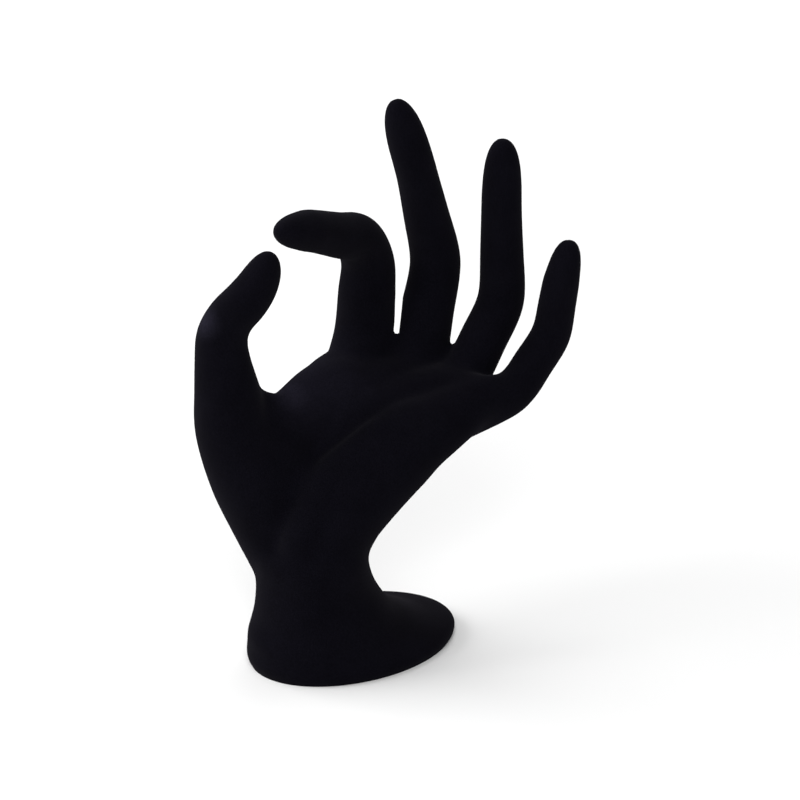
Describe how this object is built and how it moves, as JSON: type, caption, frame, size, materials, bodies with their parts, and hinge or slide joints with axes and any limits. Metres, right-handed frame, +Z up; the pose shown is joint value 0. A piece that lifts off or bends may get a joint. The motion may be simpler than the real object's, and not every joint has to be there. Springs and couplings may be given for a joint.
{
  "type": "hand-shaped jewellery stand",
  "caption": "Upright left hand on a flat oval foot, thumb and bent index finger almost meeting, other fingers raised, for showing rings, bracelets and chains.",
  "frame": {"origin": "middle of the foot's flat underside", "axes": "+Z up; Y along the foot's long axis, with the hand leaning towards +Y and its palm facing -Y and up, turned 15 degrees about Z; the thumb's side at -X, the little finger's side at +X"},
  "size_m": [0.0677, 0.1031, 0.1654],
  "materials": {
    "black_flock": "matt black nylon flock glued over a cast resin body"
  },
  "bodies": {
    "root": {"hand_stand": "black_flock"}
  },
  "joints": []
}
